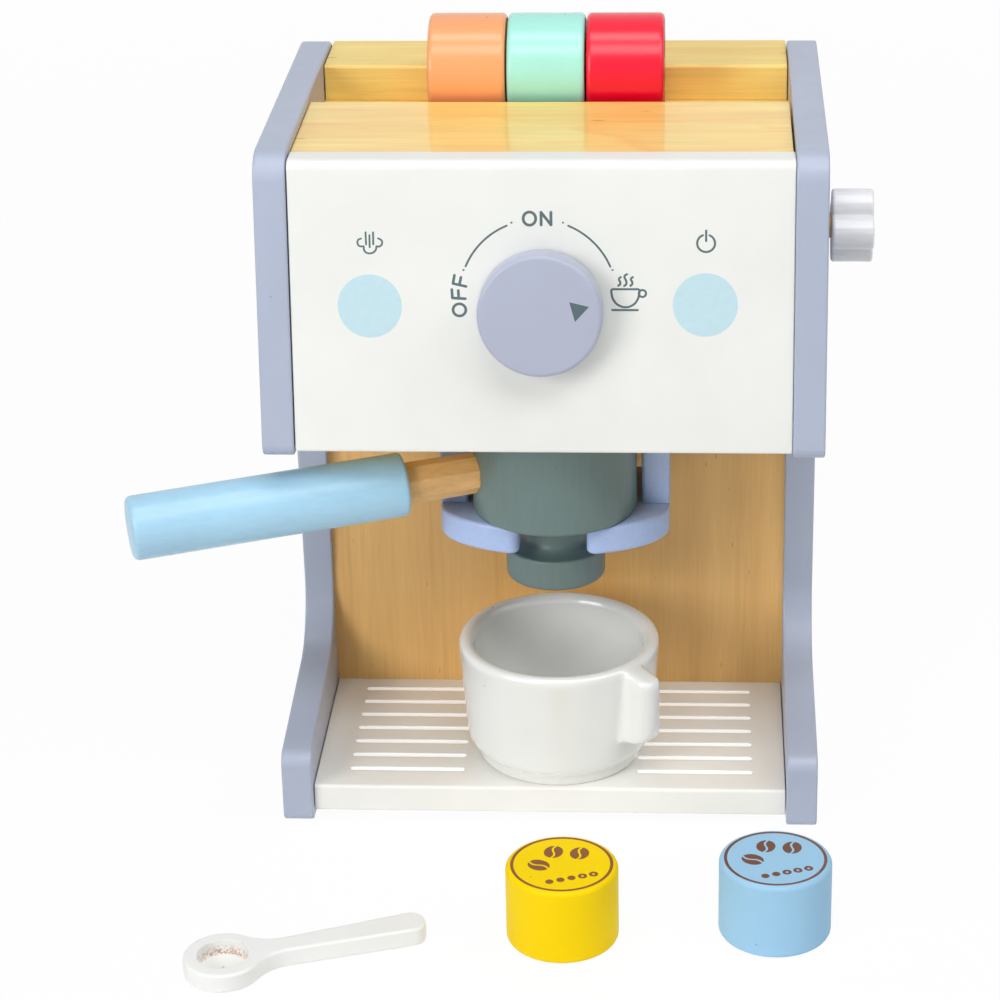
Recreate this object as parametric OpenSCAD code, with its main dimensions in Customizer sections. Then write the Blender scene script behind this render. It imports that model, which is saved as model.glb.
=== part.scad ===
// Wooden toy coffee maker with a pull-out portafilter, a cup, capsules and a
// measuring spoon.
// +X is the viewer's right, +Y points to the back, +Z is up. The floor is
// z = 0 and the origin is the middle of the whole set's footprint.

/* [Overall] */
// Width across the two side panels
overall_w = 170; // [150:1:200]
// Depth of the side panels
depth = 141; // [134:1:165]
// Height of the side panels
height = 221.2; // [214:0.1:240]
// Softening radius on the painted board edges
edge_r = 0.7; // [0.4:0.1:1.6]

/* [Side panels] */
// Thickness of a side panel
side_t = 9.7; // [8:0.1:13]
// Setback of the toe's face behind the nose
toe_y = 3.2; // [0:0.2:8]
// Height of the toe's face
toe_h = 24; // [18:0.5:30]
// Depth at which the foot bends up into the column
bend_y = 78.4; // [70:0.2:84]
// Height of that bend
bend_z = 31.4; // [28:0.2:42]
// Radius of the bend
bend_r = 20; // [8:1:34]
// Depth of the column's front edge under the nose
column_y = 73.2; // [66:0.2:77]
// Height of the nose's underside
nose_z = 128.4; // [122:0.1:138]
// How far the front leans back over the nose's height
lean = 10.2; // [4:0.1:18]
// Radius of the upper front corner
front_r = 9; // [4:0.5:16]
// Radius of the upper back corner
back_r = 10; // [4:0.5:16]
// Radius of the nose's lower corner and of the inner corner
nose_r = 3.5; // [2:0.5:8]
// Radius of the toe's upper corner
toe_r = 5; // [2.5:0.5:9]
// Radius of the lower corners
sole_r = 3; // [1.5:0.5:6]

/* [Front panel] */
// Thickness of the front panel
panel_t = 9.7; // [7:0.1:12]
// Setback of its face behind the side panels' front edges
panel_in = 1; // [0:0.1:3]
// Height of its lower edge above the nose's underside
panel_up = 1.8; // [0:0.1:4]
// How far the front panel stands above the top board
panel_over = 0.9; // [0.3:0.1:1.6]
// Radius along its upper front edge
panel_r = 3; // [1:0.2:4]

/* [Top and back boards] */
// Step from the side panels' top down to the top board
top_step = 2.8; // [1.6:0.1:4]
// Step from the side panels' top down to the rear rail
rail_step = 2; // [0:0.1:4]
// Width of the capsule channel between the top board and the rear rail
channel_w = 37; // [34.8:0.1:42]
// Front to back width of the rear rail
rail_w = 30; // [22:0.5:32]
// Depth of the capsule channel, which is the boards' thickness
channel_d = 11; // [8:0.5:14]
// Thickness of the shelf under the channel
shelf_t = 8; // [5:0.5:12]
// How far the shelf reaches under the top board
shelf_lap = 14; // [8:1:30]
// Thickness of the housing floor
floor_t = 8; // [5:0.5:12]
// Housing floor's underside above the nose's underside
floor_up = 2.6; // [0.5:0.1:4]
// Thickness of the plywood back wall of the serving bay
wall_t = 6; // [4:0.5:8]
// Thickness of the rear cover
cover_t = 5; // [3:0.5:8]
// Thickness of the base board between back wall and rear cover
base_t = 9; // [6:0.5:12]
// Gap at each end of the rear rail
rail_gap = 0.3; // [0:0.05:0.6]

/* [Drip tray] */
// Front edge of the tray
tray_y = 5.8; // [3.5:0.2:10]
// Back edge of the tray, where the back wall stands
tray_back = 79; // [77:0.5:90]
// Underside of the tray above the floor
tray_z = 3; // [1:0.5:6]
// Thickness of the tray
tray_t = 9; // [7:0.5:12]
// Gap at each side of the tray
tray_gap = 0.3; // [0:0.05:0.6]
// Rows of drain slots
slot_rows = 7; // [3:1:8]
// Length of a slot
slot_l = 37; // [24:0.5:40]
// Width of a slot
slot_w = 2.4; // [1.6:0.1:3.4]
// Pitch of the rows
slot_pitch = 9.1; // [6:0.1:10]
// Front edge of the tray to the first row
slot_in = 11.4; // [6:0.2:16]
// Middle of a slot from the tray's middle
slot_x = 46.2; // [30:0.2:50]

/* [Holder] */
// Sideways place of the holder
holder_x = 1.8; // [-4:0.2:4]
// Depth of the portafilter's axis
holder_y = 36; // [32:0.5:46]
// Top of the fork plate
fork_z = 97.8; // [90:0.2:104]
// Thickness of the fork plate
fork_t = 9; // [6:0.5:12]
// Width of the fork plate
fork_w = 72.4; // [70:0.2:84]
// How far the fork's round front bulges past the axis
fork_bulge = 20.5; // [15:0.5:26]
// Front to back width of the uprights
upright_l = 30; // [20:1:36]
// Thickness of an upright
upright_t = 8.8; // [6:0.2:9]
// Gap around the portafilter's neck in the fork's slot
neck_gap = 0.35; // [0.3:0.05:0.8]
// Radius at the tips of the fork
tip_r = 2.6; // [1:0.2:4]
// Radius at the back corners of the fork
heel_r = 3; // [1:0.2:4]
// Softening radius on the fork's edges
fork_r = 1.1; // [0.5:0.1:2]
// Corner radius of the uprights
upright_r = 1.2; // [0.4:0.1:3]

/* [Portafilter] */
// Diameter of the filter block
block_d = 51.8; // [46:0.2:54]
// Height of the filter block
block_h = 30; // [24:0.5:31]
// Edge radius of the filter block
block_r = 1.2; // [0.4:0.1:2.5]
// Diameter of the neck in the slot
neck_d = 20.3; // [16:0.1:24]
// Diameter of the spout ring
spout_d = 31.4; // [26:0.2:38]
// Height of the spout ring
spout_h = 10.2; // [7:0.2:13]
// Spout ring's upper rim below the fork
spout_drop = 4.3; // [3:0.1:7]
// Gap between the fork and the spout's flare
flare_gap = 0.4; // [0.3:0.05:0.8]
// Rounding on the spout ring's upper rim
rim_r = 0.8; // [0.4:0.1:1.5]
// Rounding on the spout ring's lower edge
spout_r = 1.2; // [0.5:0.1:2.5]
// Handle axis above the fork
handle_z = 15.1; // [11:0.1:18]
// Angle of the handle, turned forward from straight left
handle_a = 18; // [14:0.2:30]
// Angle at which the handle points down
droop = 2.4; // [0:0.1:6]
// Height of the wooden handle neck
stem_h = 12.4; // [9:0.2:16]
// Width of the wooden handle neck
stem_w = 11; // [10:0.5:16]
// Size of the flats cut along the neck's corners
stem_r = 3.4; // [2:0.2:4.4]
// Distance from the axis to the grip's near end
grip_in = 48.5; // [42:0.5:60]
// Length of the grip
grip_l = 86.2; // [70:0.2:100]
// Diameter of the grip
grip_d = 20; // [18:0.2:24]
// Edge radius of the grip
grip_r = 2; // [0.6:0.2:4]
// Diameter of the turned tenons on the wooden neck
tenon_d = 8; // [5:0.5:8]
// Length of those tenons
tenon_l = 12; // [6:0.5:16]

/* [Knobs] */
// Height of the control knob's axis along the leaning front, from the nose
knob_up = 46.9; // [38:0.1:56]
// Diameter of the control knob
knob_d = 37.2; // [30:0.2:44]
// Face of the control knob in front of the panel
knob_out = 9.8; // [7:0.2:14]
// Gap between the control knob and the panel
knob_gap = 0.8; // [0.4:0.1:1.5]
// Bevel on the control knob's front edge
knob_bevel = 1.3; // [0.5:0.1:2.5]
// Diameter of the knobs' wooden axles
axle_d = 8; // [5:0.5:10]
// Depth of an axle in its knob
axle_in = 6; // [4:0.5:6.5]
// Diameter of the retaining collars
collar_d = 16; // [13:0.5:22]
// Thickness of the retaining collars
collar_t = 6; // [4:0.5:9]
// Play between a collar and its board
collar_gap = 0.4; // [0.3:0.1:0.8]
// Depth of the steam knob's axis
steam_y = 68; // [56:0.5:80]
// Steam knob's axis below the side panels' top
steam_down = 41.5; // [34:0.1:60]
// Radius over the steam knob's four lobes
steam_r = 11.8; // [9:0.2:15]
// Radius of one lobe
lobe_r = 5.4; // [4.4:0.1:6.5]
// Length of the steam knob along its axis
steam_l = 13; // [9:0.5:18]
// Gap between the steam knob and the side panel
steam_gap = 3.2; // [1:0.1:5]
// Rounding on the steam knob's edges
lobe_edge = 0.9; // [0.4:0.1:2]
// Play around an axle in its bore
axle_play = 0.08; // [0.04:0.01:0.1]

/* [Cup] */
// Sideways place of the cup
cup_x = 2.5; // [-4:0.5:6]
// Depth of the cup's axis
cup_y = 33.5; // [33:0.5:42]
// Height of the cup
cup_h = 40.6; // [34:0.2:46]
// Diameter at the rim
cup_d = 64; // [58:0.2:68]
// Diameter of the body above its lower curve
cup_low_d = 59.4; // [52:0.2:60]
// Diameter of the foot
cup_foot_d = 52.6; // [44:0.2:54]
// Height of the foot ring
cup_foot_h = 4.2; // [2:0.2:7]
// Wall thickness of the cup
cup_wall = 4; // [2.5:0.1:5]
// Thickness of the cup's bottom
cup_floor = 5; // [3:0.2:8]
// Direction of the lug, turned forward from straight right
lug_a = 41; // [0:1:60]
// Reach of the lug from the cup's axis
lug_out = 41.4; // [38:0.2:46]
// Thickness of the lug
lug_t = 7.8; // [6.8:0.2:12]
// Height of the lug
lug_h = 26; // [16:0.5:30]
// How far the lug spreads on each side where it meets the cup
lug_flare = 2; // [1:0.5:6]
// Top of the lug below the rim, at the cup
lug_top = 1; // [0.6:0.1:3]
// Top of the lug below the rim, at its end
lug_drop = 3; // [2:0.1:8]
// Rise of the lug's underside towards its end
lug_rise = 3; // [2:0.5:8]
// Radius at the lug's end
lug_r = 2.8; // [1.6:0.2:3.2]
// Radius of the lug's lower corner
lug_low_r = 6.5; // [3:0.5:8]

/* [Capsules] */
// Diameter of a capsule
capsule_d = 33.6; // [28:0.2:34]
// Height of a capsule
capsule_h = 24.4; // [20:0.2:26]
// Edge radius of a capsule
capsule_r = 1.6; // [0.6:0.1:3]
// Sideways place of the stored row's middle
row_x = -1.4; // [-10:0.2:10]
// Gap between stored capsules
row_gap = 0.5; // [0.3:0.1:2]
// Clearance under a stored capsule
rest_gap = 0.2; // [0.1:0.05:0.4]
// Sideways place of the yellow capsule on the floor
yellow_x = 7.1; // [-20:0.1:30]
// Distance of the yellow capsule in front of the nose
yellow_y = 60.4; // [50:0.1:80]
// Sideways place of the blue capsule on the floor
blue_x = 70.4; // [50:0.1:90]
// Distance of the blue capsule in front of the nose
blue_y = 55.6; // [45:0.1:80]

/* [Measuring spoon] */
// Sideways place of the spoon's bowl, to the left of the machine's middle
spoon_x = 91.8; // [80:0.1:110]
// Distance of the spoon's bowl in front of the nose
spoon_y = 83; // [70:0.1:100]
// Direction of the spoon's handle, counterclockwise from +X
spoon_a = 20; // [0:1:40]
// Thickness of the spoon
spoon_t = 6; // [4.5:0.2:9]
// Diameter of the spoon's head
bowl_d = 23.6; // [20:0.2:30]
// Diameter of the hollow
hollow_d = 15; // [11:0.2:18]
// Depth of the hollow
hollow_h = 4.5; // [3:0.1:4.5]
// Distance from the head's middle to the handle's end
spoon_l = 61.5; // [50:0.5:80]
// Width of the handle at its narrowest
spoon_neck = 7.4; // [5:0.2:9]
// Width of the handle at its end
spoon_end = 10.6; // [9.4:0.2:14]
// Radius between the spoon's head and its handle
spoon_fillet = 14; // [6:1:20]
// Corner radius at the handle's end
spoon_end_r = 4.4; // [2:0.2:4.6]
// Softening radius on the spoon's edges
spoon_r = 0.9; // [0.4:0.1:1.6]

/* [Hidden] */
$fn = 64;
// Half the clear width between the side panels
half_in = overall_w / 2 - side_t;
// Angle at which the front leans back
lean_a = atan(lean / (height - nose_z));
// Levels of the boards
top_z = height - top_step;
rail_z = height - rail_step;
shelf_z = top_z - channel_d;
tray_top = tray_z + tray_t;
floor_z = nose_z + floor_up;
rail_y = depth - rail_w;
board_y = rail_y - channel_w;
channel_y = rail_y - channel_w / 2;
// Far end of the grip along the handle, and the handle's share along -X
grip_end = grip_in + grip_l;
handle_x = cos(handle_a) * cos(droop);
// Reach of the whole set to the left, to the right and to the front, and its middle
reach_l = (grip_end - grip_r) * handle_x + (grip_d / 2 - grip_r) * sqrt(1 - handle_x * handle_x)
          + grip_r - holder_x;
reach_r = overall_w / 2 + steam_gap + steam_l;
reach_f = max(bowl_d / 2 + spoon_y, capsule_d / 2 + max(yellow_y, blue_y));
mid = [(reach_r - reach_l) / 2, (depth - reach_f) / 2];

// y of the leaning front at height z, measured off behind it
function front_y(z, off) = (z - nose_z) * tan(lean_a) + off / cos(lean_a);

// ---- outlines ----
function unit(v) = v / norm(v);
function turn(a, b) = a[0] * b[1] - a[1] * b[0];
// Points on an arc about c, from angle a0 to a1
function arc(c, r, a0, a1, n) =
    [for (i = [0:n]) let (a = a0 + (a1 - a0) * i / n) c + r * [cos(a), sin(a)]];
// Points that round the corner p between its neighbours, with radius r
function corner(a, p, b, r, n) = r == 0 ? [p] :
    let (u = unit(a - p), v = unit(b - p), ang = acos(u * v),
         c = p + unit(u + v) * r / sin(ang / 2),
         s = p + u * r / tan(ang / 2) - c,
         sweep = (180 - ang) * sign(turn(p - a, b - p)))
    [for (i = [0:n]) let (t = sweep * i / n)
        c + [s[0] * cos(t) - s[1] * sin(t), s[0] * sin(t) + s[1] * cos(t)]];
// Outline with rounded corners, from a list of [x, y, radius, steps]
function outline(q) = let (m = len(q))
    [for (i = [0:m - 1])
        let (a = q[(i + m - 1) % m], p = q[i], b = q[(i + 1) % m])
        each corner([a[0], a[1]], [p[0], p[1]], [b[0], b[1]], p[2], p[3])];
// The outline drawn in by e, for outlines that run counterclockwise
function inset(o, e) = let (m = len(o))
    [for (i = [0:m - 1])
        let (d0 = unit(o[i] - o[(i + m - 1) % m]), d1 = unit(o[(i + 1) % m] - o[i]),
             n0 = [-d0[1], d0[0]], n1 = [-d1[1], d1[0]])
        o[i] + (n0 + n1) / (1 + n0 * n1) * e];
// Rectangle from [x0, y0] to [x1, y1] with rounded corners
function box4(x0, y0, x1, y1, r, n) =
    outline([[x0, y0, r, n], [x1, y0, r, n], [x1, y1, r, n], [x0, y1, r, n]]);

// Is p inside the triangle a, b, c
function within(p, a, b, c) = turn(b - a, p - a) > 1e-7 && turn(c - b, p - b) > 1e-7
                              && turn(a - c, p - c) > 1e-7;
// First corner of the index list v, from i on, that can be cut off as a triangle
function ear(o, v, i) =
    let (m = len(v), a = v[(i + m - 1) % m], b = v[i % m], c = v[(i + 1) % m])
    turn(o[b] - o[a], o[c] - o[b]) > 1e-7
    && len([for (k = v) if (k != a && k != b && k != c && within(o[k], o[a], o[b], o[c])) k]) == 0
    || i > 2 * m ? i % m : ear(o, v, i + 1);
// Triangles that fill the outline o, as indices
function fill(o, v) = let (m = len(v)) m == 3 ? [v] :
    let (i = ear(o, v, 1))
    concat([[v[(i + m - 1) % m], v[i], v[(i + 1) % m]]],
           fill(o, [for (k = [0:m - 1]) if (k != i) v[k]]));

// ---- building modules ----
// A board of thickness t with every edge softened by r, from z = 0 up
module soft_board(o, t, r) {
    k = 3;
    m = len(o);
    low = [for (i = [0:k]) let (a = 90 * i / k) [r * (1 - cos(a)), r * (1 - sin(a))]];
    rings = concat(low, [for (i = [k:-1:0]) [t - low[i][0], low[i][1]]]);
    last = len(rings) - 1;
    cap = fill(inset(o, r), [for (i = [0:m - 1]) i]);
    polyhedron(
        points = [for (g = rings) for (p = inset(o, g[1])) [p[0], p[1], g[0]]],
        faces = concat(
            cap,
            [for (j = [0:last - 1]) for (i = [0:m - 1]) let (n = (i + 1) % m)
                each [[j * m + i, (j + 1) * m + i, (j + 1) * m + n],
                      [j * m + i, (j + 1) * m + n, j * m + n]]],
            [for (f = cap) [last * m + f[2], last * m + f[1], last * m + f[0]]]),
        convexity = 6);
}
// An outline in y and z, extruded along X from x0 to x1
module along_x(o, x0, x1) {
    translate([x0, 0, 0]) rotate([90, 0, 90]) linear_extrude(x1 - x0) polygon(o);
}
// A turned body of radius r from z0 to z1, with rounded edges e0 below and e1 above
module turned(r, z0, z1, e0, e1) {
    rotate_extrude() polygon(concat([[0, z0]],
        arc([r - e0, z0 + e0], e0, -90, 0, 6), arc([r - e1, z1 - e1], e1, 0, 90, 6),
        [[0, z1]]));
}
// Moves a piece from the machine's middle to the set's middle
module set() { translate([-mid[0], -mid[1], 0]) children(); }
// Frame on the leaning front: z runs up along it, -y points out of it
module on_front() { translate([0, 0, nose_z]) rotate([-lean_a, 0, 0]) children(); }
// Control knob's axis: z points out of the panel's face
module knob_axis() {
    on_front() translate([0, panel_in, knob_up]) rotate([90, 0, 0]) children();
}
// Steam knob's axis: z points out of the right side panel
module steam_axis() {
    translate([overall_w / 2, steam_y, height - steam_down]) rotate([0, 90, 0]) children();
}
// Portafilter's axis at the fork's top
module filter_axis() { translate([holder_x, holder_y, fork_z]) children(); }
// Handle's axis: x points away from the filter block
module handle_axis() {
    filter_axis() translate([0, 0, handle_z]) rotate([0, droop, 180 + handle_a]) children();
}

// ---- body ----
side_profile = outline([
    [toe_y, 0, sole_r, 4], [depth, 0, sole_r, 4], [depth, height, back_r, 6],
    [lean, height, front_r, 6], [0, nose_z, nose_r, 4],
    [column_y, nose_z, nose_r, 4], [bend_y, bend_z, bend_r, 8], [toe_y, toe_h, toe_r, 5]]);
module side_panel() {
    rotate([90, 0, 90]) soft_board(side_profile, side_t, edge_r);
}
module left_side_panel() {
    color([0.64, 0.67, 0.77]) set() translate([-overall_w / 2, 0, 0]) side_panel();
}
module right_side_panel() {
    color([0.64, 0.67, 0.77]) set() difference() {
        translate([overall_w / 2 - side_t, 0, 0]) side_panel();
        steam_axis() translate([0, 0, -side_t - 1])
            cylinder(r = axle_d / 2 + axle_play, h = side_t + 2);
    }
}
module front_panel() {
    z0 = nose_z + panel_up;
    z1 = top_z + panel_over;
    back = panel_in + panel_t;
    color([0.94, 0.95, 0.92]) set() difference() {
        along_x(outline([
            [front_y(z0, panel_in), z0, edge_r, 3], [front_y(z0, back), z0, 0, 0],
            [front_y(top_z, back), top_z, 0, 0], [front_y(top_z, back), z1, 0, 0],
            [front_y(z1, panel_in), z1, panel_r, 5]]), -half_in, half_in);
        knob_axis() translate([0, 0, -panel_t - 2])
            cylinder(r = axle_d / 2 + axle_play, h = panel_t + 4);
    }
}
module top_board() {
    back = panel_in + panel_t;
    color([0.93, 0.77, 0.50]) set()
        along_x(outline([
            [front_y(shelf_z, back), shelf_z, 0, 0], [board_y, shelf_z, 0, 0],
            [board_y, top_z, 0.8, 3], [front_y(top_z, back), top_z, 0, 0]]),
            -half_in, half_in);
}
module rear_rail() {
    color([0.93, 0.77, 0.50]) set()
        along_x(outline([
            [rail_y, shelf_z, 0, 0], [depth, shelf_z, 0, 0],
            [depth, rail_z, 1.2, 3], [rail_y, rail_z, 1.2, 3]]),
            rail_gap - half_in, half_in - rail_gap);
}
module capsule_shelf() {
    color([0.88, 0.72, 0.46]) set()
        translate([-half_in, board_y - shelf_lap, shelf_z - shelf_t])
            cube([2 * half_in, depth - board_y + shelf_lap, shelf_t]);
}
module housing_floor() {
    back = panel_in + panel_t;
    color([0.88, 0.72, 0.46]) set()
        along_x([
            [front_y(floor_z, back), floor_z], [tray_back + wall_t, floor_z],
            [tray_back + wall_t, floor_z + floor_t],
            [front_y(floor_z + floor_t, back), floor_z + floor_t]], -half_in, half_in);
}
module back_wall() {
    color([0.82, 0.63, 0.38]) set()
        translate([-half_in, tray_back, tray_z]) cube([2 * half_in, wall_t, floor_z - tray_z]);
}
module rear_cover() {
    color([0.82, 0.63, 0.38]) set()
        translate([-half_in, depth - cover_t, tray_z])
            cube([2 * half_in, cover_t, shelf_z - shelf_t - tray_z]);
}
module base_board() {
    color([0.82, 0.63, 0.38]) set()
        translate([-half_in, tray_back + wall_t, tray_z])
            cube([2 * half_in, depth - cover_t - tray_back - wall_t, base_t]);
}
module drip_tray() {
    w = half_in - tray_gap;
    color([0.94, 0.94, 0.91]) set() difference() {
        along_x(outline([
            [tray_y, tray_z, 0.8, 2], [tray_back, tray_z, 0, 0],
            [tray_back, tray_top, 0, 0], [tray_y, tray_top, 1.2, 4]]), -w, w);
        for (s = [-1, 1]) for (i = [0:slot_rows - 1])
            translate([s * slot_x, tray_y + slot_in + i * slot_pitch, tray_z - 1]) {
                for (e = [-1, 1]) translate([e * (slot_l - slot_w) / 2, 0, 0])
                    cylinder(d = slot_w, h = tray_t + 2, $fn = 24);
                translate([-(slot_l - slot_w) / 2, -slot_w / 2, 0])
                    cube([slot_l - slot_w, slot_w, tray_t + 2]);
            }
    }
}

// ---- holder ----
module upright(s) {
    x = s * (fork_w / 2 - upright_t / 2);
    color([0.60, 0.66, 0.86]) set() filter_axis() translate([x, 0, 0])
        linear_extrude(floor_z - fork_z)
            polygon(box4(-upright_t / 2, 0, upright_t / 2, upright_l, upright_r, 3));
}
module holder_left_upright() { upright(-1); }
module holder_right_upright() { upright(1); }
module holder_fork() {
    w = fork_w / 2;
    s = neck_d / 2 + neck_gap;
    mouth = fork_bulge * sqrt(1 - s * s / w / w);
    a = acos(s / w);
    n = 9;
    front = [for (i = [1:n]) let (t = a * i / (n + 1)) [w * cos(t), -fork_bulge * sin(t)]];
    o = outline(concat(
        [[-w, upright_l, heel_r, 4], [-w, 0, 0, 0]],
        [for (p = front) [-p[0], p[1], 0, 0]],
        [[-s, -mouth, tip_r, 4]],
        [for (p = arc([0, 0], s, 180, 0, 14)) [p[0], p[1], 0, 0]],
        [[s, -mouth, tip_r, 4]],
        [for (i = [n - 1:-1:0]) [front[i][0], front[i][1], 0, 0]],
        [[w, 0, 0, 0], [w, upright_l, heel_r, 4]]));
    color([0.60, 0.66, 0.86]) set() filter_axis()
        translate([0, 0, -fork_t]) soft_board(o, fork_t, fork_r);
}

// ---- portafilter ----
glue = 0.05;
module tenon(x0, x1, gap) {
    translate([x0, 0, 0]) rotate([0, 90, 0]) cylinder(d = tenon_d + 2 * gap, h = x1 - x0);
}
module portafilter_block() {
    r = block_d / 2;
    color([0.42, 0.51, 0.48]) set() difference() {
        filter_axis() turned(r, 0, block_h, block_r, block_r);
        handle_axis() tenon(r - tenon_l, r + 1, glue);
    }
}
module portafilter_spout() {
    r = spout_d / 2;
    n = neck_d / 2;
    z0 = fork_t + flare_gap;
    z1 = fork_t + spout_drop;
    e = rim_r;
    color([0.42, 0.51, 0.48]) set() filter_axis() rotate_extrude() polygon(concat(
        [[0, 0], [0, -z1 - spout_h]],
        arc([r - spout_r, spout_r - z1 - spout_h], spout_r, -90, 0, 5),
        arc([r - e, -z1 - e], e, 0, 90, 4),
        [for (i = [1:8]) let (t = 90 - 90 * i / 8)
            [n + (r - e - n) * (1 - cos(t)), -z0 - (z1 - z0) * sin(t)]],
        [[n, 0]]));
}
module portafilter_stem() {
    r = block_d / 2;
    color([0.76, 0.57, 0.35]) set() difference() {
        union() {
            handle_axis() along_x(box4(-stem_w / 2, -stem_h / 2, stem_w / 2, stem_h / 2,
                                       stem_r, 1), r * 0.8, grip_in);
            handle_axis() tenon(r - tenon_l + 0.3, grip_in + tenon_l - 0.3, 0);
        }
        difference() {
            filter_axis() cylinder(d = block_d, h = block_h);
            handle_axis() tenon(0, r + 1, 0);
        }
    }
}
module portafilter_grip() {
    color([0.62, 0.80, 0.91]) set() handle_axis() difference() {
        rotate([0, 90, 0]) turned(grip_d / 2, grip_in, grip_end, 1.2, grip_r);
        tenon(grip_in - 1, grip_in + tenon_l, glue);
    }
}

// ---- knobs ----
module control_knob() {
    color([0.64, 0.67, 0.79]) set() knob_axis() difference() {
        turned(knob_d / 2, knob_gap, knob_out, 0.8, knob_bevel);
        translate([0, 0, knob_gap - 1]) cylinder(d = axle_d + 2 * glue, h = axle_in + 1);
    }
}
module axle(z1, wall) {
    z0 = wall + collar_gap + collar_t;
    translate([0, 0, -z0]) cylinder(d = axle_d, h = z0 + z1);
}
module collar(wall) {
    translate([0, 0, -wall - collar_gap - collar_t]) difference() {
        cylinder(d = collar_d, h = collar_t);
        translate([0, 0, -1]) cylinder(d = axle_d + 2 * glue, h = collar_t + 2);
    }
}
module control_knob_axle() {
    color([0.80, 0.64, 0.42]) set() knob_axis() axle(knob_gap + axle_in - 0.2, panel_t);
}
module control_knob_collar() {
    color([0.80, 0.64, 0.42]) set() knob_axis() collar(panel_t);
}
module steam_knob() {
    z = steam_gap + steam_l;
    color([0.80, 0.80, 0.81]) set() steam_axis() difference() {
        union() {
            for (a = [0:90:270]) rotate([0, 0, a]) translate([steam_r - lobe_r, 0, 0])
                turned(lobe_r, steam_gap, z, lobe_edge, lobe_edge);
            turned(steam_r - lobe_r, steam_gap, z, lobe_edge, lobe_edge);
        }
        translate([0, 0, steam_gap - 1]) cylinder(d = axle_d + 2 * glue, h = axle_in + 1);
    }
}
module steam_knob_axle() {
    color([0.80, 0.64, 0.42]) set() steam_axis() axle(steam_gap + axle_in - 0.2, side_t);
}
module steam_knob_collar() {
    color([0.80, 0.64, 0.42]) set() steam_axis() collar(side_t);
}

// ---- cup ----
module coffee_cup() {
    r = cup_d / 2;
    low = cup_low_d / 2;
    foot = cup_foot_d / 2;
    in = r - cup_wall;
    e = cup_wall / 2;
    curve = low - foot - 0.6;
    hw = lug_t / 2;
    fw = hw + lug_flare;
    zl = cup_h - lug_h;
    color([0.93, 0.93, 0.92]) set() translate([cup_x, cup_y, tray_top]) difference() {
        union() {
            rotate_extrude() polygon(concat(
                [[0, 0]], arc([foot - 0.6, 0.6], 0.6, -90, 0, 3), [[foot, cup_foot_h]],
                [for (i = [0:6]) let (t = 90 * i / 6)
                    [low - curve + curve * sin(t), cup_foot_h + 0.5 + 1.7 * curve * (1 - cos(t))]],
                arc([r - e * 0.9, cup_h - e * 0.9], e * 0.9, 0, 90, 6), [[0, cup_h]]));
            rotate([0, 0, -lug_a]) intersection() {
                linear_extrude(cup_h) polygon(outline([
                    [in - 2, -fw, 0, 0], [r - 3.6, -fw, 0, 0], [r + 0.8, -hw, 4, 4],
                    [lug_out, -hw, lug_r, 5], [lug_out, hw, lug_r, 5], [r + 0.8, hw, 4, 4],
                    [r - 3.6, fw, 0, 0], [in - 2, fw, 0, 0]]));
                rotate([90, 0, 0]) translate([0, 0, -fw - 2]) linear_extrude(2 * fw + 4)
                    polygon(outline([
                        [in - 3, zl, 0, 0], [r + 0.3 * (lug_out - r), zl, 2, 4],
                        [lug_out, zl + lug_rise, lug_low_r, 6], [lug_out, cup_h - lug_drop, 2, 4],
                        [r + 0.5, cup_h - lug_top, 3, 3], [in - 3, cup_h - lug_top, 0, 0]]));
            }
        }
        rotate_extrude() polygon(concat(
            [[0, cup_floor]],
            [for (i = [0:6]) let (t = 90 * i / 6)
                [in - 6.5 + 5 * sin(t), cup_floor + 6 * (1 - cos(t))]],
            [[in - 0.4, cup_h - e]],
            [[in + e * 0.3, cup_h - e * 0.25], [in + e * 0.7, cup_h + 0.01],
             [in + e * 0.7, cup_h + 1], [0, cup_h + 1]]));
    }
}

// ---- capsules ----
module capsule() { turned(capsule_d / 2, 0, capsule_h, capsule_r, capsule_r); }
module stored_capsule(i) {
    set() translate([row_x + i * (capsule_h + row_gap) - capsule_h / 2, channel_y,
                     shelf_z + rest_gap + capsule_d / 2]) rotate([0, 90, 0]) capsule();
}
module capsule_peach() { color([0.97, 0.64, 0.44]) stored_capsule(-1); }
module capsule_mint() { color([0.68, 0.91, 0.83]) stored_capsule(0); }
module capsule_red() { color([0.93, 0.05, 0.22]) stored_capsule(1); }
module capsule_yellow() { color([0.98, 0.83, 0.10]) set() translate([yellow_x, -yellow_y, 0]) capsule(); }
module capsule_blue() { color([0.65, 0.82, 0.93]) set() translate([blue_x, -blue_y, 0]) capsule(); }

// ---- measuring spoon ----
module measuring_spoon() {
    r = bowl_d / 2;
    n = spoon_neck / 2;
    f = spoon_fillet;
    xf = sqrt((r + f) * (r + f) - (n + f) * (n + f));
    a = atan2(n + f, xf);
    o = concat(
        arc([0, 0], r, a, 360 - a, 26),
        [for (i = [1:6]) let (t = 180 - a - (90 - a) * i / 6) [xf + f * cos(t), f * sin(t) - n - f]],
        corner([xf, -n], [spoon_l, -spoon_end / 2], [spoon_l, spoon_end / 2], spoon_end_r, 5),
        corner([spoon_l, -spoon_end / 2], [spoon_l, spoon_end / 2], [xf, n], spoon_end_r, 5),
        [for (i = [0:5]) let (t = 270 - (90 - a) * i / 6) [xf + f * cos(t), n + f + f * sin(t)]]);
    color([0.93, 0.93, 0.91]) set() translate([-spoon_x, -spoon_y, 0])
            rotate([0, 0, spoon_a]) difference() {
        soft_board(o, spoon_t, spoon_r);
        translate([0, 0, spoon_t - hollow_h]) cylinder(d = hollow_d, h = hollow_h + 1);
    }
}

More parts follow.
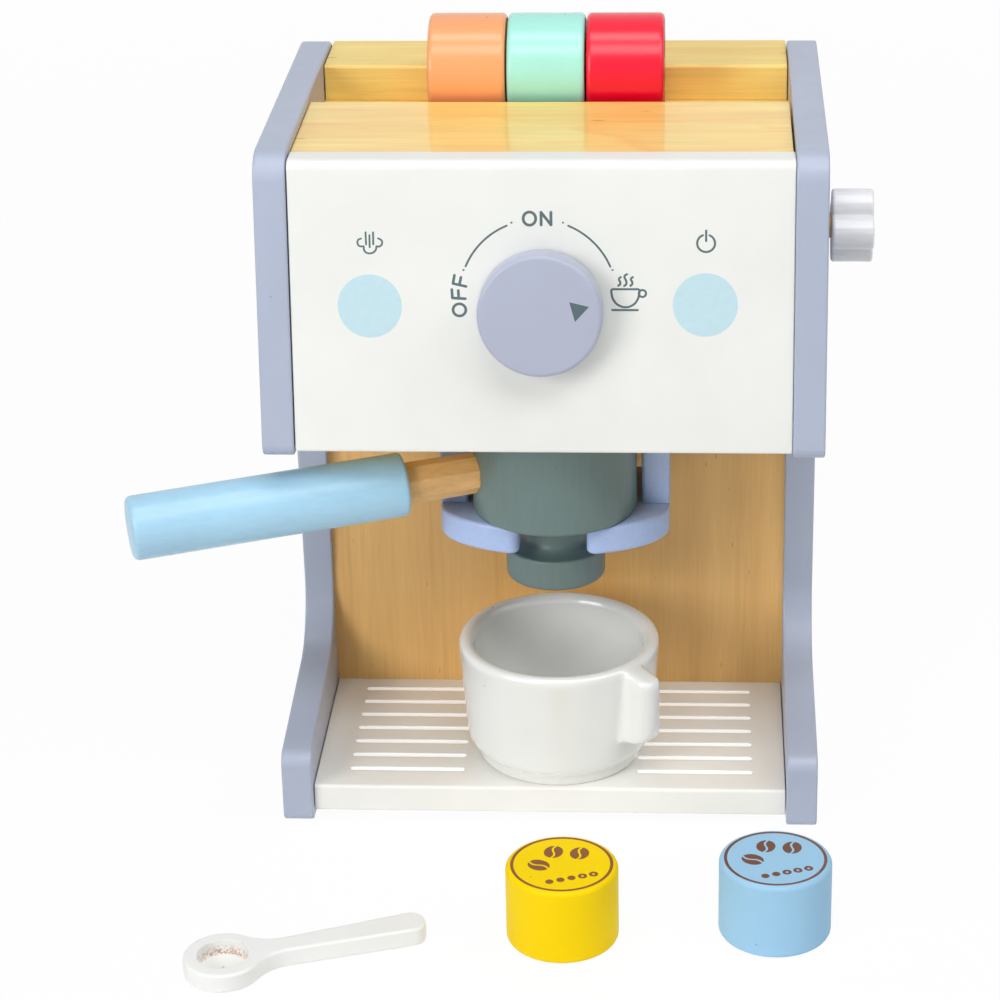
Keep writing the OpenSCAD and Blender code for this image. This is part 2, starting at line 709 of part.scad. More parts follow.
left_side_panel();
right_side_panel();
front_panel();
top_board();
rear_rail();
capsule_shelf();
housing_floor();
back_wall();
rear_cover();
base_board();
drip_tray();
holder_left_upright();
holder_right_upright();
holder_fork();
portafilter_block();
portafilter_spout();
portafilter_stem();
portafilter_grip();
control_knob();
control_knob_axle();
control_knob_collar();
steam_knob();
steam_knob_axle();
steam_knob_collar();
coffee_cup();
capsule_peach();
capsule_mint();
capsule_red();
capsule_yellow();
capsule_blue();
measuring_spoon();
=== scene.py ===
# Looks of a wooden toy coffee maker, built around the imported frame.
# Metres; +X is the viewer's right, +Y the back, +Z up; the floor is z = 0.
import math

import bmesh
import bpy
from mathutils import Matrix, Vector


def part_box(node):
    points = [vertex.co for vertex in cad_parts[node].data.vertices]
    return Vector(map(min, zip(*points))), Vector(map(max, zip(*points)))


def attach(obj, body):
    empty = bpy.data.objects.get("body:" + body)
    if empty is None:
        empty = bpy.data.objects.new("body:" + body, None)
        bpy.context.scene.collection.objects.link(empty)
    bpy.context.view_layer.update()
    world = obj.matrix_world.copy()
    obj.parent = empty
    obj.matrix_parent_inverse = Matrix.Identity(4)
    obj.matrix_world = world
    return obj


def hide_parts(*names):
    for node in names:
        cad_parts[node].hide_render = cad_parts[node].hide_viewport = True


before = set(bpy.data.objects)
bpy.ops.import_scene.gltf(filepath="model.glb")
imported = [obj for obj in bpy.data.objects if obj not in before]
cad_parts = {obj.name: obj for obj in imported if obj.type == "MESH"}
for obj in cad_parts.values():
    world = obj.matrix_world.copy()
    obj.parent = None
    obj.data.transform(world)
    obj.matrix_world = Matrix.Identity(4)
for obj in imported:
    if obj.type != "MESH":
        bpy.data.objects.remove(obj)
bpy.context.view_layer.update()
MM = 0.001


# ---- Camera ----
# A long lens a little left of straight ahead, looking down by 23 degrees.
eye = Vector((0.060758, -0.865099, 0.498854))
yaw, pitch, roll = -0.0597466, 0.3974671, 0.0183314
photo_px, sensor_mm = 1000, 36.0
focal_px, centre_px = 3054.811, (530.182, 410.309)
ahead = Vector((math.sin(yaw) * math.cos(pitch), math.cos(yaw) * math.cos(pitch), -math.sin(pitch)))
right = Vector((math.cos(yaw), -math.sin(yaw), 0.0))
down = ahead.cross(right)
right, down = (
    right * math.cos(roll) + down * math.sin(roll),
    down * math.cos(roll) - right * math.sin(roll),
)
camera = bpy.data.objects.new("camera", bpy.data.cameras.new("camera"))
bpy.context.scene.collection.objects.link(camera)
camera.matrix_world = Matrix.Translation(eye) @ Matrix((right, -down, -ahead)).transposed().to_4x4()
camera.data.sensor_width = sensor_mm
camera.data.lens = focal_px * sensor_mm / photo_px
camera.data.shift_x = (photo_px / 2 - centre_px[0]) / photo_px
camera.data.shift_y = (centre_px[1] - photo_px / 2) / photo_px
camera.data.clip_start = 0.05
camera.data.clip_end = 20.0
bpy.context.scene.camera = camera
bpy.context.scene.view_settings.view_transform = "Standard"


# ---- Studio: floor, world and soft lights ----
# A white floor that keeps a faint shadow near the toy and has no horizon, a key light from the
# front left, two softboxes high in front and on the right, and a narrow one overhead.
def wire(material_or_world):
    """A function that adds shader nodes: inputs are numbers, colours or other sockets."""
    tree = material_or_world.node_tree

    def add(kind, inputs=None, out=0, **settings):
        node = tree.nodes.new("ShaderNode" + kind)
        for key, value in settings.items():
            setattr(node, key, value)
        for key, value in (inputs or {}).items():
            if isinstance(value, bpy.types.NodeSocket):
                tree.links.new(value, node.inputs[key])
            else:
                node.inputs[key].default_value = value
        return node.outputs[out]

    return add


def any_ray(add, kinds):
    """1 for the rays of these kinds, such as camera and glossy ones."""
    path = add("LightPath", out="Is Camera Ray").node
    total = path.outputs[kinds[0]]
    for kind in kinds[1:]:
        total = add("Math", {0: total, 1: path.outputs[kind]}, operation="MAXIMUM")
    return total


SEEN_RAYS = ("Is Camera Ray", "Is Glossy Ray", "Is Transmission Ray")
world = bpy.data.worlds.new("studio")
bpy.context.scene.world = world
world.use_nodes = True
world.node_tree.nodes.clear()
add = wire(world)
room = add("Background", {"Color": (0.93, 0.96, 1.0, 1.0), "Strength": 0.03})
seen = add("Background", {"Color": (1.0, 1.0, 1.0, 1.0), "Strength": 1.0})
sky = add("MixShader", {0: any_ray(add, SEEN_RAYS), 1: room, 2: seen})
world_out = world.node_tree.nodes.new("ShaderNodeOutputWorld")
world.node_tree.links.new(sky, world_out.inputs["Surface"])

bpy.ops.mesh.primitive_plane_add(size=6.0, location=(0, 0, -0.0003))
floor = bpy.context.object
floor.name = "floor"
floor_paper = bpy.data.materials.new("floor_paper")
floor_paper.use_nodes = True
floor_paper.node_tree.nodes.clear()
add = wire(floor_paper)
paper = add("BsdfDiffuse", {"Color": (0.93, 0.93, 0.93, 1.0)})
bright = add("Emission", {"Color": (1.0, 1.0, 1.0, 1.0), "Strength": 1.0})
away = add("VectorMath", {0: add("TexCoord", out="Object")}, out="Value", operation="LENGTH")
share = add("MapRange", {"Value": away, "From Min": 0.5, "From Max": 1.4, "To Min": 0.965,
                         "To Max": 1.0})
share = add("Math", {0: any_ray(add, SEEN_RAYS), 1: share}, operation="MULTIPLY")
mixed = add("MixShader", {0: share, 1: paper, 2: bright})
floor_out = floor_paper.node_tree.nodes.new("ShaderNodeOutputMaterial")
floor_paper.node_tree.links.new(mixed, floor_out.inputs["Surface"])
floor.data.materials.append(floor_paper)


def softbox(name, place, target, width, height, watts):
    """A rectangular lamp at place that faces target, in metres."""
    lamp = bpy.data.objects.new(name, bpy.data.lights.new(name, "AREA"))
    bpy.context.scene.collection.objects.link(lamp)
    lamp.data.shape = "RECTANGLE"
    lamp.data.size = width
    lamp.data.size_y = height
    lamp.data.energy = watts
    lamp.location = place
    lamp.rotation_euler = (Vector(target) - Vector(place)).to_track_quat("-Z", "Y").to_euler()


softbox("overhead", (0.0, -0.12, 1.45), (0.0, 0.02, 0.1), 0.8, 0.35, 4.2)
softbox("front_left", (-1.05, -1.25, 0.75), (0.0, 0.0, 0.1), 0.9, 0.9, 15.4)
softbox("front_high", (0.1, -0.76, 1.30), (0.0, 0.0, 0.1), 0.9, 0.45, 5.4)
softbox("upper_right", (0.95, -0.38, 1.12), (0.0, 0.0, 0.1), 0.9, 0.9, 7.0)


# ---- Side panels ----
# Two boards of fibreboard, cut to one outline, edges sanded round, sprayed satin lavender.
# All the machine's boards are glued between them; the right one has the steam knob's bore.
def tone(r, g, b):
    """A colour as it looks on screen, 0 to 255, as the shader's linear value."""
    return tuple(
        c / 12.92 if c <= 0.04045 else ((c + 0.055) / 1.055) ** 2.4
        for c in (r / 255, g / 255, b / 255)
    ) + (1.0,)


def new_material(name):
    """A material, its shader, the functions that add and link nodes, and the place on the
    piece, on which all patterns are drawn."""
    material = bpy.data.materials.new(name)
    material.use_nodes = True
    shader = material.node_tree.nodes["Principled BSDF"]
    add = wire(material)
    return material, shader, add, material.node_tree.links.new, add("TexCoord", out="Object")


def shade(colour, factor):
    """The colour made lighter or darker by a factor."""
    return tuple(min(1.0, c * factor) for c in colour[:3]) + (1.0,)


def spread(add, value, low, high, to_low, to_high):
    """value's band from low to high, stretched to to_low and to_high, and held there."""
    return add("MapRange", {"Value": value, "From Min": low, "From Max": high,
                            "To Min": to_low, "To Max": to_high})


def edge_highlight(add, place, radius):
    """The softened normal, a mask along the edges where a highlight is painted paler, and its
    patches.
    """
    soft = add("Bevel", {"Radius": radius}, samples=6)
    flat = add("NewGeometry", out="Normal")
    bend = add("VectorMath", {0: soft, 1: flat}, out="Value", operation="DOT_PRODUCT")
    patchy = add("TexNoise", {"Vector": place, "Scale": 140.0, "Detail": 3.0}, out=0)
    edge = spread(add, bend, 0.995, 0.90, 0.0, 1.0)
    return soft, add("Math", {0: edge, 1: patchy}, operation="MULTIPLY"), patchy


def specks(add, place, scale, share, size):
    """A mask of a few small dots: dust in paint, or pores in wood."""
    near = add("TexVoronoi", {"Vector": place, "Scale": scale}, out="Distance")
    pick = add("SeparateColor", {"Color": near.node.outputs["Color"]}, out="Red")
    dot = spread(add, near, size * 1.6, size, 0.0, 1.0)
    few = add("Math", {0: pick, 1: 1.0 - share}, operation="GREATER_THAN")
    return add("Math", {0: dot, 1: few}, operation="MULTIPLY")


def toy_paint(name, colour, gloss, peel, fibre=0.0, along=(1, 1, 1), coat=0.0,
              dust=0.10, radius=0.7, mirror=0.5, highlight_gain=1.16, even=0.0):
    """Sprayed paint: mottled by a hair, orange peel, a painted highlight along the edges, a few
    specks of dust. gloss is the roughness. fibre lets wood grain print through, drawn out by
    along, mirror is the shine, highlight_gain is how pale the painted edge highlight is, and
    even takes out the slow waves."""
    material, shader, add, link, place = new_material(name)
    clouds = add("TexNoise", {"Vector": place, "Scale": 26.0, "Detail": 3.0}, out=0)
    clouds = spread(add, clouds, 0.3, 0.7, 0.968, 1.028)
    drawn = add("Mapping", {"Vector": place, "Scale": along})
    grain = add("TexNoise", {"Vector": drawn, "Scale": 900.0, "Detail": 2.0}, out=0)
    soft, edge, patchy = edge_highlight(add, place, radius * MM)
    speck = specks(add, place, 165.0, dust, 0.045)
    # Painted highlight: the colour goes paler along every edge.
    base = add("MixRGB", {"Fac": edge, "Color1": colour, "Color2": shade(colour, highlight_gain)})
    base = add("MixRGB", {"Fac": speck, "Color1": base, "Color2": shade(colour, 0.60)})
    lines = spread(add, grain, 0.35, 0.65, 1.0 - 0.10 * fibre, 1.0 + 0.05 * fibre)
    level = add("Math", {0: clouds, 1: lines}, operation="MULTIPLY")
    base = add("VectorMath", {0: base, "Scale": level}, operation="SCALE")
    link(base, shader.inputs["Base Color"])
    link(spread(add, patchy, 0.3, 0.7, gloss - 0.04 * (1 - even), gloss + 0.05 * (1 - even)),
         shader.inputs["Roughness"])
    shader.inputs["Specular IOR Level"].default_value = mirror
    shader.inputs["Coat Weight"].default_value = coat
    shader.inputs["Coat Roughness"].default_value = 0.12
    skin = add("TexNoise", {"Vector": place, "Scale": 620.0, "Detail": 1.5}, out=0)
    swell = add("TexNoise", {"Vector": place, "Scale": 70.0, "Detail": 2.0}, out=0)
    normal = soft
    for height, strength, depth in (
            (swell, 0.35, 0.12 * peel * (1 - even)), (skin, 0.35, 0.035 * peel),
            (grain, 0.30, 0.03 * fibre), (speck, 0.6, 0.08)):
        normal = add("Bump", {"Height": height, "Strength": strength, "Distance": depth * MM,
                              "Normal": normal})
    link(normal, shader.inputs["Normal"])
    return material


def select_only(*pieces):
    """These pieces alone selected, and the first one active."""
    bpy.ops.object.select_all(action="DESELECT")
    bpy.context.view_layer.objects.active = pieces[0]
    for piece in pieces:
        piece.select_set(True)


def dress(piece, material):
    """The piece takes this material and no other."""
    piece.data.materials.clear()
    piece.data.materials.append(material)


def edit_all(piece):
    """piece alone in edit mode, with all of it selected."""
    select_only(piece)
    bpy.ops.object.mode_set(mode="EDIT")
    bpy.ops.mesh.select_all(action="SELECT")


def add_modifier(piece, kind, **settings):
    """A modifier, set up and applied at once."""
    modifier = piece.modifiers.new(kind.lower(), kind)
    for key, value in settings.items():
        setattr(modifier, key, value)
    select_only(piece)
    bpy.ops.object.modifier_apply(modifier=modifier.name)


def shade_soft(piece, degrees=38):
    """Smooth shading up to this angle, with the large faces kept flat."""
    select_only(piece)
    bpy.ops.object.shade_smooth_by_angle(angle=math.radians(degrees))
    add_modifier(piece, "WEIGHTED_NORMAL", mode="FACE_AREA", weight=60, keep_sharp=True)


def sanded_copy(node, name, body, material, slot, edge=0.0, sharp=50):
    """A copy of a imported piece, welded. Its edges sharper than sharp (degrees) are sanded
    round by edge (mm)."""
    piece = bpy.data.objects.new(name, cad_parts[node].data.copy())
    bpy.context.scene.collection.objects.link(piece)
    edit_all(piece)
    if piece.data.has_custom_normals:
        bpy.ops.mesh.customdata_custom_splitnormals_clear()
    bpy.ops.mesh.remove_doubles(threshold=0.002 * MM)
    bpy.ops.mesh.dissolve_limited(angle_limit=math.radians(0.6))
    bpy.ops.object.mode_set(mode="OBJECT")
    if edge:
        add_modifier(piece, "BEVEL", width=edge * MM, segments=2, limit_method="ANGLE",
                     angle_limit=math.radians(sharp), use_clamp_overlap=True)
    shade_soft(piece)
    dress(piece, material)
    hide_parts(node)
    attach(piece, body)
    return piece


lavender = toy_paint("lavender_paint", tone(175, 184, 204), gloss=0.36, peel=1.3)
for side in ("left", "right"):
    sanded_copy(side + "_side_panel", side + "_side_board", "machine", lavender,
                "lavender_paint", edge=0.25, sharp=60)


# ---- Front panel ----
# A board of fibreboard that leans back with the side panels, sprayed satin cream.
# Its upper front edge is rounded, and the control knob's axle passes through its middle.
cream = toy_paint("cream_paint", tone(239, 240, 235), gloss=0.36, peel=0.8, dust=0.0)
front_board = sanded_copy("front_panel", "front_board", "machine", cream, "cream_paint",
                          edge=0.45, sharp=50)


def trim_ends(piece, left, right):
    """Takes left and right, in mm, off a board's two ends, where a saw leaves play."""
    xs = [v.co.x for v in piece.data.vertices]
    low, high = min(xs), max(xs)
    share = 1.0 - (left + right) * MM / (high - low)
    for v in piece.data.vertices:
        v.co.x = low + left * MM + (v.co.x - low) * share


trim_ends(front_board, 0.35, 0.1)


# ---- Prints on the front panel ----
# Screen-printed ink, a few hundredths of a millimetre proud: two pale blue lamps, ON and OFF
# with an arc from the one to the other and on to a cup, and the signs for power and steam.
def printed(name, rgb):
    """Screen ink: a little thin and uneven, so the ground shows through by a hair."""
    material, shader, add, link, place = new_material(name)
    thin = add("TexNoise", {"Vector": place, "Scale": 420.0, "Detail": 3.0}, out=0)
    level = spread(add, thin, 0.3, 0.75, 0.98, 1.02)
    base = add("VectorMath", {0: tone(*rgb)[:3], "Scale": level}, operation="SCALE")
    link(base, shader.inputs["Base Color"])
    skin = add("TexNoise", {"Vector": place, "Scale": 900.0, "Detail": 2.0}, out=0)
    bump = add("Bump", {"Height": skin, "Strength": 0.25, "Distance": 0.02 * MM})
    link(bump, shader.inputs["Normal"])
    shader.inputs["Roughness"].default_value = 0.45
    return material


def smooth_line(points, closed=False, steps=6):
    """More points along a smooth curve through these (x, y) points."""
    n = len(points)
    if n < 3:
        return list(points)
    dense = []
    for i in range(n if closed else n - 1):
        p0 = points[(i - 1) % n] if closed or i else points[0]
        p1, p2 = points[i], points[(i + 1) % n]
        p3 = points[(i + 2) % n] if closed or i + 2 < n else points[-1]
        for k in range(steps):
            t = k / steps
            dense.append(tuple(
                0.5 * (2 * b + (c - a) * t + (2 * a - 5 * b + 4 * c - d) * t * t
                       + (3 * b - a - 3 * c + d) * t ** 3)
                for a, b, c, d in zip(p0, p1, p2, p3)))
    return dense if closed else dense + [tuple(points[-1])]


def to_mesh_piece(thing, name, place, material, body, slot):
    """Turns a curve into a mesh piece at its place, in metres, and lets it ride."""
    select_only(thing)
    bpy.ops.object.convert(target="MESH")
    thing.name = name
    thing.data.transform(place)
    dress(thing, material)
    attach(thing, body)
    return thing


def ink_lines(name, strokes, width, place, material, body, slot, rise=0.045):
    """Printed lines with round ends. A stroke is a list of (x, y) in mm, or a closed one
    as ("ring", points); width and rise are the line's width and height in mm."""
    drawing = bpy.data.curves.new(name, "CURVE")
    drawing.dimensions = "3D"
    drawing.bevel_depth = 0.5 * width
    drawing.bevel_resolution = 3
    drawing.use_fill_caps = True
    for stroke in strokes:
        closed = stroke[0] == "ring"
        line = smooth_line(stroke[1] if closed else stroke, closed)
        ends = [(p, 1.0) for p in line]
        if not closed:
            for at, inner in ((0, 1), (-1, -2)):
                p, q = Vector(line[at]), Vector(line[inner])
                out = (p - q).normalized() * 0.5 * width
                cap = [(tuple(p + out * math.sin(a)), max(0.05, math.cos(a)))
                       for a in (0.4, 0.8, 1.2, 1.5)]
                ends = cap[::-1] + ends if at == 0 else ends + cap
        spline = drawing.splines.new("POLY")
        spline.points.add(len(ends) - 1)
        for point, (xy, radius) in zip(spline.points, ends):
            point.co = (xy[0], xy[1], 0.0, 1.0)
            point.radius = radius
        spline.use_cyclic_u = closed
    thing = bpy.data.objects.new(name, drawing)
    bpy.context.scene.collection.objects.link(thing)
    flat = Matrix.Diagonal((MM, MM, MM * rise / (0.5 * width), 1.0))
    return to_mesh_piece(thing, name, place @ flat, material, body, slot)


def ink_shapes(name, outlines, place, material, body, slot, rise=0.04):
    """Printed solid shapes, rise (mm) high: each outline is a closed list of (x, y) in mm."""
    drawing = bpy.data.curves.new(name, "CURVE")
    drawing.dimensions = "2D"
    drawing.fill_mode = "BOTH"
    drawing.extrude = 0.5
    for outline in outlines:
        spline = drawing.splines.new("POLY")
        spline.points.add(len(outline) - 1)
        for point, xy in zip(spline.points, outline):
            point.co = (xy[0], xy[1], 0.0, 1.0)
        spline.use_cyclic_u = True
    thing = bpy.data.objects.new(name, drawing)
    bpy.context.scene.collection.objects.link(thing)
    flat = Matrix.Diagonal((MM, MM, MM * rise, 1.0))
    return to_mesh_piece(thing, name, place @ flat, material, body, slot)


def oval(x, y, rx, ry, steps=40):
    """The points of an oval round (x, y)."""
    turns = (2 * math.pi * i / steps for i in range(steps))
    return [(x + rx * math.cos(a), y + ry * math.sin(a)) for a in turns]


panel_set_back, panel_rise = 10.2, 92.8
lean = math.atan(panel_set_back / panel_rise)
knob_axis = Vector((0.0, -math.cos(lean), math.sin(lean)))
panel_up = Vector((0.0, math.sin(lean), math.cos(lean)))
panel_middle = Vector((13.794, -16.982, 174.910)) * MM
on_panel = Matrix.Translation(panel_middle) @ Matrix(
    (Vector((1, 0, 0)), panel_up, knob_axis)).transposed().to_4x4()
ink = printed("grey_ink", (88, 108, 112))
pale_ink = printed("pale_blue_ink", (195, 225, 234))
ink_lines("print_on", [
    ("ring", oval(-3.14, 27.5, 1.85, 1.98)),
    [(0.30, 25.6), (0.30, 29.42)], [(0.30, 29.42), (3.22, 25.6)], [(3.22, 25.6), (3.22, 29.42)],
], 0.86, on_panel, ink, "machine", "cream_paint")
ink_lines("print_off", [
    ("ring", oval(-24.33, -0.38, 1.9, 1.86)),
    [(-26.37, 3.28), (-22.52, 3.07)], [(-26.37, 3.28), (-26.49, 5.86)],
    [(-24.50, 3.22), (-24.57, 5.55)],
    [(-26.12, 7.71), (-22.25, 6.82)], [(-26.12, 7.71), (-25.62, 10.25)],
    [(-24.20, 7.30), (-23.72, 9.6)],
], 0.82, on_panel, ink, "machine", "cream_paint")
arc_middle, arc_radius = (-0.8, 3.9), 23.3
ink_lines("print_arcs", [
    [(arc_middle[0] + arc_radius * math.cos(math.radians(a)),
      arc_middle[1] + arc_radius * math.sin(math.radians(a))) for a in span]
    for span in (range(157, 112, -4), range(23, 68, 4))
] + [[(x - 0.02, y), (x + 0.02, y)]
     for x, y in ((-8.47, 26.27), (-22.91, 11.84), (6.75, 26.3), (21.34, 11.94))],
    0.62, on_panel, ink, "machine", "cream_paint")
ink_lines("print_cup", [
    ("ring", [(21.3, 6.08), (23.0, 6.1), (25.1, 6.1), (27.2, 6.1), (28.9, 6.08), (29.25, 5.6),
              (29.18, 4.6), (28.85, 3.2), (27.8, 1.6), (26.2, 0.72), (25.1, 0.6), (24.1, 0.72),
              (22.5, 1.6), (21.38, 3.2), (21.02, 4.6), (20.96, 5.6)]),
    ("ring", oval(30.16, 4.8, 1.06, 1.06)),
    [(21.2, -0.28), (28.75, -0.28)],
    [(23.74, 9.77), (23.27, 9.40), (23.24, 8.90), (23.55, 8.35), (23.55, 7.62), (23.03, 7.15)],
    [(25.61, 10.67), (25.05, 10.35), (24.85, 9.77), (25.15, 9.08), (25.42, 8.36),
     (25.30, 7.52), (24.78, 7.11)],
    [(27.31, 9.77), (26.84, 9.40), (26.81, 8.90), (27.12, 8.35), (27.12, 7.62), (26.62, 7.15)],
], 0.66, on_panel, ink, "machine", "cream_paint")
ink_lines("print_power", [
    [(48.93 + 2.62 * math.sin(math.radians(a)), 20.1 + 2.62 * math.cos(math.radians(a)))
     for a in range(23, 340, 15)],
    [(48.93, 23.95), (48.93, 20.8)],
], 0.66, on_panel, ink, "machine", "cream_paint")
ink_lines("print_steam", [
    [(-51.80, 23.25), (-51.74, 19.6)], [(-50.68, 22.4), (-50.68, 18.75)],
    [(-49.58, 23.25), (-49.60, 19.6)],
    [(-53.22, 21.36), (-53.98, 21.04), (-54.31, 20.27), (-54.09, 19.4), (-53.37, 18.99),
     (-52.50, 19.0), (-52.47, 18.40), (-52.36, 17.85), (-51.84, 17.13), (-50.75, 16.85),
     (-49.62, 17.17), (-48.93, 17.85), (-48.74, 18.45), (-48.62, 19.0), (-47.9, 18.94),
     (-47.22, 19.32), (-46.93, 20.19), (-47.24, 20.96), (-48.11, 21.43)],
], 0.58, on_panel, ink, "machine", "cream_paint")
for side, x, y in (("left", -51.12, 0.68), ("right", 48.82, 1.32)):
    ink_shapes("print_lamp_" + side, [oval(x, y, 9.62, 9.70, steps=96)], on_panel, pale_ink,
               "machine", "cream_paint")


# ---- Top board, rear rail and shelf ----
# Solid pine, sawn flat so that the rings run out in long bands, under a clear satin lacquer
# that mirrors the capsules faintly. The capsules lie in the channel between board and rail.
def pine_wood(name, heart, early, late, ring=3.4, contrast=0.55, lacquer=0.6):
    """Wood that grows along X round a heart at (y, z) in mm: year rings ring (mm) apart, broad
    bands where they run out, fibres and pores. early and late are the rings' colours."""
    material, shader, add, link, place = new_material(name)
    slow = add("Mapping", {"Vector": place, "Scale": (9.0, 26.0, 26.0)})
    drift = add("TexNoise", {"Vector": slow, "Scale": 1.0, "Detail": 2.0}, out=0)
    drift = spread(add, drift, 0.0, 1.0, -16.0 * MM, 16.0 * MM)
    x, y, z = (add("SeparateXYZ", {"Vector": place}, out=i) for i in range(3))
    y = add("Math", {0: y, 1: -heart[0] * MM}, operation="ADD")
    z = add("Math", {0: z, 1: -heart[1] * MM}, operation="ADD")
    tilt = add("Math", {0: x, 1: 0.10}, operation="MULTIPLY")
    y = add("Math", {0: y, 1: tilt}, operation="ADD")
    flat = add("CombineXYZ", {"X": 0.0, "Y": y, "Z": z})
    away = add("VectorMath", {0: flat}, out="Value", operation="LENGTH")
    away = add("Math", {0: away, 1: drift}, operation="ADD")
    turns = add("Math", {0: away, 1: 1.0 / (ring * MM)}, operation="MULTIPLY")
    phase = add("Math", {0: turns}, operation="FRACT")
    rise = add("Math", {0: phase, 1: 2.6}, operation="POWER")
    fall = spread(add, phase, 0.90, 1.0, 1.0, 0.0)
    band = add("Math", {0: rise, 1: fall}, operation="MULTIPLY")
    year = add("Math", {0: turns}, operation="FLOOR")
    year = add("TexWhiteNoise", {"W": year}, noise_dimensions="1D")
    year = spread(add, year, 0.0, 1.0, 0.35, 1.0)
    band = add("Math", {0: band, 1: year}, operation="MULTIPLY")
    band = add("Math", {0: band, 1: contrast}, operation="MULTIPLY")
    sweep = add("Mapping", {"Vector": place, "Rotation": (0.0, 0.0, 0.16),
                            "Scale": (7.0, 75.0, 75.0)})
    broad = add("TexNoise", {"Vector": sweep, "Scale": 1.0, "Detail": 2.0, "Distortion": 0.6},
                out=0)
    broad = spread(add, broad, 0.46, 0.66, 0.0, 0.9 * contrast)
    band = add("Math", {0: band, 1: broad}, operation="MAXIMUM")
    drawn = add("Mapping", {"Vector": place, "Scale": (0.02, 1.0, 1.0)})
    fibre = add("TexNoise", {"Vector": drawn, "Scale": 1500.0, "Detail": 3.0}, out=0)
    drawn = add("Mapping", {"Vector": place, "Scale": (0.06, 1.0, 1.0)})
    streak = add("TexNoise", {"Vector": drawn, "Scale": 240.0, "Detail": 2.0}, out=0)
    clouds = add("TexNoise", {"Vector": place, "Scale": 16.0, "Detail": 2.0}, out=0)
    base = add("MixRGB", {"Fac": band, "Color1": early, "Color2": late})
    warm = spread(add, clouds, 0.35, 0.7, 0.0, 0.35)
    base = add("MixRGB", {"Fac": warm, "Color1": base, "Color2": shade(late, 1.15)})
    fine = spread(add, fibre, 0.3, 0.7, 0.94, 1.05)
    coarse = spread(add, streak, 0.3, 0.7, 0.93, 1.05)
    level = add("Math", {0: fine, 1: coarse}, operation="MULTIPLY")
    base = add("VectorMath", {0: base, "Scale": level}, operation="SCALE")
    short = add("Mapping", {"Vector": place, "Scale": (0.16, 1.0, 1.0)})
    pore = specks(add, short, 420.0, 0.05, 0.12)
    base = add("MixRGB", {"Fac": pore, "Color1": base, "Color2": shade(late, 0.62)})
    link(base, shader.inputs["Base Color"])
    shader.inputs["Roughness"].default_value = 0.48
    shader.inputs["Coat Weight"].default_value = lacquer
    shader.inputs["Coat Roughness"].default_value = 0.05
    soft = add("Bevel", {"Radius": 0.5 * MM}, samples=6)
    normal = add("Bump", {"Height": fibre, "Strength": 0.25, "Distance": 0.03 * MM,
                          "Normal": soft})
    normal = add("Bump", {"Height": band, "Strength": 0.3, "Distance": 0.05 * MM,
                          "Normal": normal})
    link(normal, shader.inputs["Normal"])
    return material


pine_pale, pine_band = tone(255, 228, 134), tone(242, 176, 84)
top_plank = sanded_copy("top_board", "top_plank", "machine", pine_wood(
    "pine_top", (40, 130), pine_pale, pine_band, ring=5.2), "pine", edge=0.35)
trim_ends(top_plank, 0.15, 0.55)
sanded_copy("rear_rail", "rear_plank", "machine",
            pine_wood("pine_rail", (92, 150), tone(255, 228, 136), tone(250, 196, 98), ring=3.0,
                      contrast=0.4, lacquer=0.12), "pine", edge=0.25, sharp=60)
for node, heart in (("capsule_shelf", (20, 150)), ("housing_floor", (60, 90))):
    dress(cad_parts[node], pine_wood("pine_" + node, heart, shade(pine_pale, 0.92),
                                          pine_band, lacquer=0.3))


# ---- Back wall, rear cover and base board ----
# Birch plywood, the veneer's grain upright, clear lacquer. The wall closes the serving bay,
# the cover closes the back of the machine, and the base board ties the two together.
def veneer(name, ground, fleck, along=(1.0, 1.0, 0.04)):
    """Rotary-cut birch: cloudy upright figure, fine short flecks, faint lines."""
    material, shader, add, link, place = new_material(name)
    drawn = add("Mapping", {"Vector": place, "Scale": along})
    wide = add("TexNoise", {"Vector": drawn, "Scale": 60.0, "Detail": 3.0, "Roughness": 0.55,
                            "Distortion": 0.25}, out=0)
    thin = add("TexNoise", {"Vector": drawn, "Scale": 330.0, "Detail": 1.0, "Distortion": 0.2},
               out=0)
    hair = add("TexNoise", {"Vector": drawn, "Scale": 1300.0, "Detail": 2.0}, out=0)
    slow = add("Mapping", {"Vector": place, "Scale": (1.0, 1.0, 0.3)})
    figure = add("TexNoise", {"Vector": slow, "Scale": 20.0, "Detail": 2.0}, out=0)
    base = add("MixRGB", {"Fac": spread(add, wide, 0.38, 0.66, 0.0, 0.50), "Color1": ground,
                          "Color2": fleck})
    base = add("MixRGB", {"Fac": spread(add, figure, 0.40, 0.75, 0.0, 0.35), "Color1": base,
                          "Color2": shade(ground, 1.12)})
    line = spread(add, thin, 0.62, 0.70, 0.0, 0.16)
    base = add("MixRGB", {"Fac": line, "Color1": base, "Color2": shade(fleck, 0.86)})
    level = spread(add, hair, 0.3, 0.7, 0.96, 1.035)
    base = add("VectorMath", {0: base, "Scale": level}, operation="SCALE")
    short = add("Mapping", {"Vector": place, "Scale": (1.0, 1.0, 0.14)})
    dash = specks(add, short, 900.0, 0.10, 0.10)
    base = add("MixRGB", {"Fac": dash, "Color1": base, "Color2": shade(fleck, 0.85)})
    link(base, shader.inputs["Base Color"])
    shader.inputs["Roughness"].default_value = 0.42
    shader.inputs["Coat Weight"].default_value = 0.25
    shader.inputs["Coat Roughness"].default_value = 0.25
    normal = add("Bump", {"Height": hair, "Strength": 0.3, "Distance": 0.03 * MM})
    link(normal, shader.inputs["Normal"])
    return material


birch = veneer("birch_plywood", tone(247, 198, 122), tone(220, 161, 90))
for node in ("back_wall", "rear_cover", "base_board"):
    dress(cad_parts[node], birch)


cover_low, cover_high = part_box("rear_cover")
screw_radius, screw_depth, screw_proud = 2.9 * MM, 1.6 * MM, 0.18 * MM


